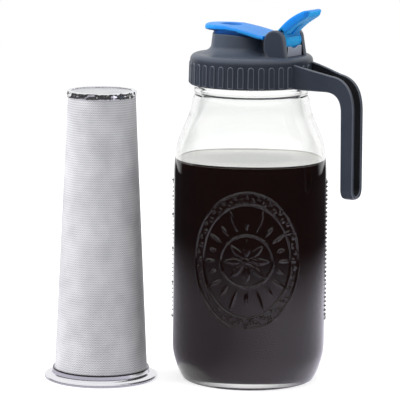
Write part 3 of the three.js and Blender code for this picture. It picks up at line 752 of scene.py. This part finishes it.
def makeCoffee(sizes, jar):
    # the liquid reaches a hair into the glass, so that no air shows between them
    wetting = sizes["wetting"]
    wall = jar["body"] - jar["wall"] + wetting
    (cornerWide, cornerTall), base = jar["innerHeel"], jar["base"] - wetting
    low, high = jar["shoulder"]
    slope = shoulderLine(low, high, wall, jar["mouth"] + wetting)
    slope = [point for point in slope if point[1] < sizes["top"] - 0.3]
    last, level = slope[-1][0] - 0.05, sizes["top"] - sizes["sink"]
    profile = chain(
        line((0, base), (wall - cornerWide, base), 4),
        bend((wall - cornerWide, base), (wall - 0.6, base), (wall, base + cornerTall), 12),
        line((wall, base + cornerTall), (wall, low), 12),
        slope,
        bend((last, sizes["top"]), (last - 0.7, level), (last - sizes["meniscus"], level), 5),
        line((last - sizes["meniscus"], level), (0, level), 5),
    )
    bm = spun(profile, jar["steps"], closed=False)
    for vert in bm.verts:
        scale = squareness(atan2(vert.co.y, vert.co.x), vert.co.z)
        vert.co.x *= scale
        vert.co.y *= scale
    finished("cold_brew", bm, [coffeeLook(sizes)], "jar", "coffee", sharp=60)


makeCoffee(coffeeSettings, jarSettings)
print("jar and coffee ready")


# Screw lid
lidSettings = {
    "bore": 44.2, "foot": 46.4, "head": 46.0, "low": 224, "deck": 246.8, "under": 242.6, "round": 4.4,
    "spoutShift": -10.6, "spout": (20.2, 21.2, 25.4), "spoutTop": 263.8, "spoutWaist": 251.7,
    "spoutBore": 17.4, "spoutDrop": 2.0, "dropEnds": 20,
    "threadStart": 233.5, "threadPitch": 5.08, "threadTurns": 1.2, "threadHigh": 1.05,
    "grips": 38, "gripWide": 4.5, "gripLow": 225, "gripHigh": 241, "gripProud": 0.7,
    "handleRoot": 17.5, "rootClear": 5.4,
    "earInside": 12, "earOutside": 17, "earRound": 1.3,
    "earBack": ((38.4, 244.7), (36.9, 252), (35.5, 260.3)),
    "earTop": ((35.5, 260.3), (34.7, 266.6), (28.2, 266.7)),
    "earFront": ((28.2, 266.7), (20.2, 266.4), (18.9, 258.2)),
    "earFoot": ((18.9, 251.5), (24.4, 244.7)),
}
rimCurve = ((-10.6, 263.8), (-1.0, 263.8), (19.0, 258.6))


def rimLine(x):
    # height of the pouring rim, which falls towards the hinge
    return heightOver(rimCurve, max(x, rimCurve[0][0]))


def spoutRim(x):
    # the spout itself ends lower at the front, where the cap's lip shows under the cap
    return rimLine(x) - lidSettings["spoutDrop"] * (1 - smoothstep(0, lidSettings["dropEnds"], x))


def skirtRadius(z):
    low, high = lidSettings["low"], lidSettings["deck"] - lidSettings["round"]
    return lidSettings["foot"] + (lidSettings["head"] - lidSettings["foot"]) * (z - low) / (high - low)


def makeLidShell(sizes):
    low, deck, under = sizes["low"], sizes["deck"], sizes["under"]
    rim, waist, flare = sizes["spout"]
    top, bore, hole = sizes["spoutTop"], sizes["bore"], sizes["spoutBore"]
    turned = sizes["round"]
    head = skirtRadius(deck - turned)
    profile = chain(
        [(bore, low + 0.6), (bore + 0.5, low)],
        [(sizes["foot"] - 0.7, low), (sizes["foot"], low + 0.7)],
        line((skirtRadius(low + 1), low + 1), (head, deck - turned), 5),
        arc((head - turned, deck - turned), turned, 0, 90, 7),
        line((head - turned, deck), (flare + 4.6, deck), 5),
        bend((flare + 4.6, deck), (flare + 0.4, deck + 0.6), (waist + 1.6, deck + 2.9), 7),
        bend((waist + 1.6, deck + 2.9), (waist + 0.2, deck + 4.4), (waist, sizes["spoutWaist"] + 1), 3),
        line((waist, sizes["spoutWaist"] + 1), (rim, top - 0.8), 4),
        arc((rim - 0.8, top - 0.8), 0.8, 0, 90, 3),
        arc((hole + 0.7, top - 0.7), 0.7, 90, 180, 3),
        line((hole, top - 0.7), (hole, under + 0.5), 6),
        [(hole + 0.5, under)],
        line((hole + 3, under), (bore - 1, under), 6),
        [(bore, under - 1)],
        line((bore, under - 1.2), (bore, low + 0.8), 30),
    )
    bm = spun(profile, 144)
    for vert in bm.verts:
        angle, radius, z = atan2(vert.co.y, vert.co.x), hypot(vert.co.x, vert.co.y), vert.co.z
        if abs(radius - bore) < 0.01 and low + 1 < z < under - 1.5:
            radius -= threadRise(angle, z, sizes)
        x = radius * cos(angle) + sizes["spoutShift"] * (1 - smoothstep(25.6, 44, radius))
        if z > 250 and radius < 24:
            z = 250 + (z - 250) * (spoutRim(x) - 250) / (top - 250)
        vert.co = (x, radius * sin(angle), z)
    return bm


def makeGrips(sizes):
    grips = []
    half = sizes["gripWide"] / 2
    outline = chain(
        [(-half, sizes["gripLow"])],
        arc((0, sizes["gripHigh"] - half), half, 180, 0, 8),
        [(half, sizes["gripLow"])],
    )
    step = 360 / sizes["grips"]
    for index in range(sizes["grips"]):
        angle = (index + 0.5) * step
        fromHandle = min(angle, 360 - angle)
        if abs(fromHandle - sizes["handleRoot"]) < sizes["rootClear"]:
            continue
        bar = plate(outline, -0.8, sizes["gripProud"], 0.55)
        for vert in bar.verts:
            turn = radians(angle) + vert.co.x / sizes["head"]
            radius = skirtRadius(vert.co.z) + vert.co.y
            vert.co = (radius * cos(turn), radius * sin(turn), vert.co.z)
        grips.append(outward(bar))
    return grips


def makeEar(side, sizes):
    outline = chain(
        bend(*sizes["earBack"], 4), bend(*sizes["earTop"], 7), bend(*sizes["earFront"], 8),
        sizes["earFoot"],
    )
    low, high = sorted((side * sizes["earInside"], side * sizes["earOutside"]))
    return plate(outline, low, high, sizes["earRound"], 4)


def makeLid(sizes):
    ears = joined(makeEar(-1, sizes), makeEar(1, sizes))

    def earLook(face, centre):
        # painted shade on the inner faces between the ears, painted highlight on the faces towards the
        # hinge and on the rounded edges
        inward, behind = face.normal.y * (1 if centre.y > 0 else -1) < -0.8, face.normal.x > 0.6
        return 4 if inward else 1 if behind else 3 if face.material_index else 2

    bm = joined(makeLidShell(sizes), *makeGrips(sizes), painted(ears, earLook))
    looks = [slateLidTopLit, slateEdgeHighlight, slate, slateRoundHighlight, slateShade]
    finished("pouring_lid", bm, looks, "lid", "screw_lid", sharp=50, even=True)


makeLid(lidSettings)


# Carrying handle
handleSettings = {
    "thick": 3.0, "wideApart": 13.9, "closeApart": 6.9, "joins": (46.3, 79.2),
    "outerLeg": ((43.4, 242.4), (71.2, 235.1)), "outerBend": ((71.2, 235.1), (89.9, 232.6), (89.7, 207.5)),
    "innerLeg": ((43.4, 224), (66, 223.1)), "innerBend": ((66, 223.1), (79.4, 223.1), (79.4, 207.5)),
    "grip": (80, 90), "bendHigh": 151.8, "shadedBelow": 150, "bottom": 143.4, "corner": 2.5,
    "round": 0.7,
}


def handleGap(x):
    # how far a ribbon's middle is from the handle's own middle plane
    wide, close = handleSettings["wideApart"], handleSettings["closeApart"]
    return wide + (close - wide) * smoothstep(*handleSettings["joins"], x)


def handleEdge(leg, turn, x, sizes):
    # one long edge of a ribbon, drawn flat: leg, bend, grip, and the part that curls under
    high = sizes["bendHigh"]
    under = high - pi / 2 * sizes["closeApart"]
    return chain(
        line(*leg, 8), bend(*turn, 14), line(turn[-1], (x, high), 8), line((x, high), (x, under), 8)
    )


def makeHandle(sizes):
    inside, outside = sizes["grip"]
    outer = handleEdge(sizes["outerLeg"], sizes["outerBend"], outside, sizes)
    inner = handleEdge(sizes["innerLeg"], sizes["innerBend"], inside, sizes)
    last = len(outer) - 1
    half = sizes["thick"] / 2

    def station(u, v, side):
        (outX, outZ), (inX, inZ) = outer[round(u * last)], inner[round(u * last)]
        return outX + (inX - outX) * v, side, outZ + (inZ - outZ) * v

    bm = slab(last, 1, lambda u, v: station(u, v, half), lambda u, v: station(u, v, -half))
    softened(bm, sizes["round"], 2, 60, lambda edge: abs(edge.verts[0].co.x - edge.verts[1].co.x) < 8)
    bendRadius, bendHigh, corner = sizes["closeApart"], sizes["bendHigh"], sizes["corner"]
    gripX, gripHalf = (outside + inside) / 2, (outside - inside) / 2
    for vert in bm.verts:
        x, out, z = vert.co
        if z < bendHigh:
            turn = (bendHigh - z) / bendRadius
            radius = bendRadius + out
            vert.co = (x, radius * cos(turn), bendHigh - radius * sin(turn))
        else:
            vert.co.y = handleGap(x) + out
        under = sizes["bottom"] + corner - vert.co.z
        if under > 0:
            cut = corner - sqrt(max(corner ** 2 - under ** 2, 0))
            vert.co.x = gripX + (vert.co.x - gripX) * (gripHalf - cut) / gripHalf
    ends = [face for face in bm.faces if all(abs(vert.co.y) < 0.02 for vert in face.verts)]
    bmesh.ops.delete(bm, geom=ends, context="FACES")
    copied = bmesh.ops.duplicate(bm, geom=bm.verts[:] + bm.edges[:] + bm.faces[:])["geom"]
    for item in copied:
        if isinstance(item, bmesh.types.BMVert):
            item.co.y = -item.co.y
    bmesh.ops.remove_doubles(bm, verts=bm.verts, dist=0.02)
    outward(bm)

    def ribbonLook(face, centre):
        # painted shade on the faces that look in between the ribbons, and on the upward faces of the curl
        # low down
        inward = face.normal.y * (1 if centre.y > 0 else -1) < -0.5
        inward = inward or face.normal.z > 0.5 and centre.z < sizes["shadedBelow"]
        return face.material_index or (2 if inward else 0)

    looks = [slate, slateEdgeHighlight, slateShade]
    painted(bm, ribbonLook)
    finished("looped_handle", bm, looks, "lid", "carry_handle", sharp=50, even=True)


makeHandle(handleSettings)
print("lid and handle ready")


# Hinge block
blockSettings = {
    "low": 246.9, "high": 254.6, "front": 27.5, "back": 36.5, "half": 10.8, "cradle": 6.5,
    "notch": 252.4, "notchSlope": 0.367, "round": 0.4,
}
hinge = (30, 258.2)


def makeBlock(sizes):
    long = sizes["back"] - sizes["front"]

    def top(u, v):
        x, y = sizes["front"] + long * u, sizes["half"] * (2 * v - 1)
        room = hinge[1] - sqrt(max(sizes["cradle"] ** 2 - (x - hinge[0]) ** 2, 0))
        return x, y, min(sizes["high"], room, sizes["notch"] + abs(y) * sizes["notchSlope"])

    def foot(u, v):
        return sizes["front"] + long * u, sizes["half"] * (2 * v - 1), sizes["low"]

    bm = slab(17, 22, top, foot)
    softened(bm, sizes["round"], 2, 70)
    # the side faces, in the narrow slots beside the ears, take a painted shade
    painted(bm, lambda face, centre: 2 if abs(face.normal.y) > 0.8 else face.material_index)
    finished("hinge_cradle", bm, [grey, greyEdgeHighlight, slateShade], "lid", "hinge_block", sharp=45)


makeBlock(blockSettings)


# Flip cap
capSettings = {
    "tip": -37.7, "nose": 18, "noseShare": 0.36, "back": 18.6, "round": 2.3, "underRound": 1.5,
    "dimple": (-17.5, 8.2, 2.4), "crown": 0.5, "lip": (17.9, 19.5), "strip": 11.7,
    "stripLine": [(14, 262.7), (18.6, 262.3), (25, 262.0), (29, 263.5), (30, 262),
                  (30, 256), (25.5, 255.9), (23.8, 257.3), (19, 258.9), (14, 260.6)],
    "rootLine": [(26.2, 261), (27.1, 263.85), (28, 266.7), (30.5, 269.2), (34, 265.4), (35.2, 261.4),
                 (34, 256.6)],
    "barrel": 6.2, "barrelRound": 0.8, "grooves": (10.2, 8.3), "grooveDeep": 0.5,
    "leverHalf": 11.7, "leverCorner": 5, "leverRound": 1.3, "leverThick": 4.0,
    "leverTop": ((28, 266.7), (36, 276.6), (48.4, 281.7)),
    "leverTip": ((48.4, 281.7), (51.6, 282.7), (54, 280.9)),
    "leverUnder": ((33.2, 262.4), (38, 269.4), (52.6, 277.6)),
    "rib": 1.6, "ribFront": ((33.5, 261.3), (43, 270), (47.4, 279.2)),
    "ribBack": ((47, 280.4), (37, 275), (31.5, 265.5)),
}
capCurve = ((-16, 268.5), (-1, 266.6), (13.5, 263.0))


def capTop(x):
    # height of the cap's top line, level at the tip and almost level again near the hinge
    first, last = capCurve[0][0], capCurve[-1][0]
    return heightOver(capCurve, min(max(x, first), last)) - max(x - last, 0) * 0.1


def capUnder(x):
    return rimLine(min(x, rimCurve[-1][0])) + 0.3


def makeCapLid(sizes):
    radius = sizes["nose"]
    middle = sizes["tip"] + radius
    noseShare = sizes["noseShare"]

    def outline(u, v):
        if u < noseShare:
            turn = u / noseShare * pi / 2
            x, half = middle - radius * cos(turn), radius * sin(turn)
        else:
            x, half = middle + (sizes["back"] - middle) * (u - noseShare) / (1 - noseShare), radius
        y = half * sin((v - 0.5) * pi)
        inset = radius - (hypot(x - middle, y) if x < middle else abs(y))
        return x, y, max(inset, 0)

    def rounding(inset, reach):
        near = max(reach - inset, 0)
        return reach - sqrt(max(reach ** 2 - near ** 2, 0))

    def upper(u, v):
        x, y, inset = outline(u, v)
        spot, wide, deep = sizes["dimple"]
        sunk = deep * (1 - smoothstep(wide - 2.2, wide, hypot(x - spot, y)))
        crown = sizes["crown"] * (y / radius) ** 2
        return x, y, capTop(x) - crown - rounding(inset, sizes["round"]) - sunk

    def lower(u, v):
        x, y, inset = outline(u, v)
        return x, y, capUnder(x) + rounding(inset, sizes["underRound"])

    def look(face, centre):
        # painted shade on the underside and in the dimple
        spot, wide, deep = sizes["dimple"]
        if centre.z < capUnder(centre.x) + sizes["underRound"] * 0.8 and face.normal.z < -0.3:
            return 2
        dished = hypot(centre.x - spot, centre.y) < wide and face.normal.z > 0 and centre.z > 264.5
        return 3 if dished else 0

    return painted(slab(72, 48, upper, lower), look)


def makeLip(sizes):
    # the ring under the cap that closes on the spout; all of it takes the cap's painted shade
    inside, outside = sizes["lip"]
    bm = spun(chain(
        [(inside, 0), (inside + 0.3, -0.3)], [(outside - 0.4, -0.3), (outside, 0.1)],
        line((outside, 0.5), (outside, 1), 2), line((inside, 1), (inside, 0.5), 2),
    ), 96)
    for vert in bm.verts:
        vert.co.x += lidSettings["spoutShift"]
        low, high = spoutRim(vert.co.x) + 0.6, capUnder(vert.co.x) + 0.9
        vert.co.z = low + (high - low) * vert.co.z
    return painted(bm, lambda face, centre: 2)


def makeLever(sizes):
    outer = chain(bend(*sizes["leverTop"], 28), bend(*sizes["leverTip"], 8))
    steps = len(outer) - 1
    under = bend(*sizes["leverUnder"], steps)
    length = sum(hypot(b[0] - a[0], b[1] - a[1]) for a, b in zip(outer, outer[1:]))

    def across(u, v):
        corner = sizes["leverCorner"]
        left = max(corner - (1 - u) * length, 0)
        half = sizes["leverHalf"] - corner + sqrt(max(corner ** 2 - left ** 2, 0))
        y = half * sin((v - 0.5) * pi)
        return y, max(half - abs(y), 0)

    def rule(line, other):
        def place(u, v):
            y, inset = across(u, v)
            here, there = line[round(u * steps)], other[round(u * steps)]
            reach = sizes["leverRound"]
            near = max(reach - min(inset, (1 - u) * length + 0.15), 0) / reach
            share = reach / sizes["leverThick"] * (1 - sqrt(max(1 - near * near, 0)))
            return here[0] + (there[0] - here[0]) * share, y, here[1] + (there[1] - here[1]) * share
        return place

    def look(face, centre):
        # the faces turned down and away from the cap take the lighter blue, painted light through the thin
        # plastic
        return int(face.normal.x - face.normal.z > 0.4 and abs(face.normal.y) < 0.4)

    return painted(slab(steps, 24, rule(outer, under), rule(under, outer)), look)


def makeCap(sizes):
    half = sizes["strip"]
    strip = plate(sizes["stripLine"], -half, half, 0.6)
    root = plate(sizes["rootLine"], -half, half, 0.6)
    radius, turned, deep = sizes["barrel"], sizes["barrelRound"], sizes["grooveDeep"]
    side = [
        (radius - cut, groove + off) for groove in sizes["grooves"]
        for off, cut in ((0.5, 0), (0.3, deep), (-0.3, deep), (-0.5, 0))
    ]
    side = [(0, half), (radius - turned, half), (radius, half - turned), *side]
    barrel = spun([*((out, -up) for out, up in side), *side[::-1]], 40, closed=False)
    # the barrel takes the lighter blue, painted light through the thin plastic
    painted(barrel, lambda face, centre: 1)
    bmesh.ops.rotate(barrel, verts=barrel.verts, cent=(0, 0, 0), matrix=Matrix.Rotation(pi / 2, 3, "X"))
    bmesh.ops.translate(barrel, verts=barrel.verts, vec=(hinge[0], 0, hinge[1]))
    outline = chain(bend(*sizes["ribFront"], 12), bend(*sizes["ribBack"], 10))
    rib = plate(outline, -sizes["rib"], sizes["rib"], 0.5)
    bm = joined(makeCapLid(sizes), makeLip(sizes), strip, root, barrel, makeLever(sizes), rib)
    looks = [blue, blueThinLit, blueShade, blueDishShade]
    finished("flip_top", bm, looks, "cap", "flip_cap", sharp=50, even=True)


makeCap(capSettings)


# Stopper under the cap
stopperSettings = {"radius": 16.9, "low": 256.8, "grooves": (259.2, 261.0), "level": 258.6, "top": 264.3}


def makeStopper(sizes):
    # its top follows the spout's rim, from the level height up
    radius, low, level, top = (sizes[key] for key in ("radius", "low", "level", "top"))
    profile = [(0, low), (radius - 4, low), (radius - 1.2, low + 0.5), (radius, low + 1.7)]
    for groove in sizes["grooves"]:
        profile += [(radius, groove - 0.4), (radius - 0.5, groove), (radius, groove + 0.4)]
    profile += [(radius, top - 0.7), (radius - 1, top), (0, top)]
    bm = spun(profile, 96, closed=False)
    for vert in bm.verts:
        vert.co.x += lidSettings["spoutShift"]
        if vert.co.z > level:
            stretch = (rimLine(vert.co.x) + 0.35 - level) / (top - level)
            vert.co.z = level + (vert.co.z - level) * stretch
    finished("stopper", bm, [silicone], "cap", "spout_stopper")


makeStopper(stopperSettings)


# Sealing ring
sealSettings = {"low": 240.3, "high": 242.3, "inside": 36.6, "outside": 43.9, "round": 0.4}


def makeSeal(sizes):
    turned = sizes["round"]
    inside, outside = sizes["inside"] + turned, sizes["outside"] - turned
    low, high = sizes["low"] + turned, sizes["high"] - turned
    corners = ((outside, low), (outside, high), (inside, high), (inside, low))
    bm = spun(chain(*(arc(at, turned, 90 * i - 90, 90 * i, 3) for i, at in enumerate(corners))), 120)
    finished("sealing_ring", bm, [silicone], "seal", "lid_seal")


makeSeal(sealSettings)
print("cap, stopper and seal ready")


# Steel filter, which stands beside the jar upside down
clothSettings = {"foot": 35.3, "tip": 25.3, "wall": 0.9, "low": 0.6, "high": 217.7}
flangeSettings = {
    "bore": 35.6, "outside": 42.8, "thick": 2.8, "fillet": 2.0, "collar": 36.6, "high": 8.3, "seam": 7.0,
}
endSettings = {"high": 219, "rim": 26.3, "under": 216.75, "disc": 23.7}


def makeCloth(sizes):
    low, high, wall = sizes["low"], sizes["high"], sizes["wall"]
    foot, tip = sizes["foot"], sizes["tip"]
    bm = spun(chain(
        line((foot, low), (tip, high), 24), line((tip - wall, high), (foot - wall, low), 24),
    ), 144)
    finished("filter_cloth", bm, [woven], "filter", "filter_mesh")


def makeFlange(sizes):
    bore, collar, fillet = sizes["bore"], sizes["collar"], sizes["fillet"]
    thick, high = sizes["thick"], sizes["high"]
    edge = sizes["outside"] - thick / 2
    bm = spun(chain(
        [(bore, 0.3), (bore + 0.3, 0)], line((bore + 1.4, 0), (edge, 0), 2),
        arc((edge, thick / 2), thick / 2, -90, 90, 10),
        line((edge - 0.2, thick), (collar + fillet, thick), 2),
        arc((collar + fillet, thick + fillet), fillet, -90, -180, 6)[1:],
        line((collar, thick + fillet + 0.2), (collar - 0.15, high - 0.5), 4),
        arc((collar - 0.5, high - 0.35), 0.35, 0, 90, 3), [(bore + 0.25, high), (bore, high - 0.3)],
    ), 144)
    # the collar's top, above the seam height, takes a dark steel: painted shade and a painted dark
    # reflection
    painted(bm, lambda face, centre: int(centre.z > sizes["seam"]))
    finished("polished_flange", bm, [polished, seamShadeSteel], "filter", "filter_flange")


def makeEndRim(sizes):
    # a strip folded over the end of the cone and the disc
    wide, high = sizes["rim"], sizes["high"]
    foot, fold = high - 4.7, wide - 1.1
    bm = spun(chain(
        [(fold + 0.55, foot), (fold + 0.7, foot - 0.25), (fold + 0.95, foot - 0.25), (wide + 0.05, foot)],
        line((wide + 0.05, foot + 0.3), (wide, high - 1.1), 3), arc((fold, high - 1.1), 1.1, 0, 90, 6),
        line((fold, high), (fold - 1.6, high - 0.2), 2), arc((fold - 1.7, high - 0.6), 0.4, 90, 270, 5),
        [(fold - 0.4, high - 1), (fold + 0.2, high - 1.1), (fold + 0.45, high - 1.5)],
    ), 144)
    finished("crimped_rim", bm, [chrome], "filter", "filter_end_rim")


def makeEndDisc(sizes):
    # a shallow dish: its middle stands 0.7 above the underside
    under, wide = sizes["under"], sizes["disc"]
    bm = spun(chain(
        [(0, under + 0.7)], line((6, under + 0.67), (14, under + 0.45), 2),
        bend((17.5, under + 0.25), (19.5, under + 0.15), (wide - 2.7, under + 0.65), 3),
        [(wide - 1.3, under + 0.95), (wide, under + 0.85), (wide + 0.05, under + 0.35)],
        [(wide - 0.1, under), (wide - 1.5, under), (17, under - 0.05), (0, under)],
    ), 120, closed=False)
    finished("dished_end", bm, [brushed], "filter", "filter_end_disc")


makeCloth(clothSettings)
makeFlange(flangeSettings)
makeEndRim(endSettings)
makeEndDisc(endSettings)
print("filter ready")

scene.view_settings.view_transform = "Standard"
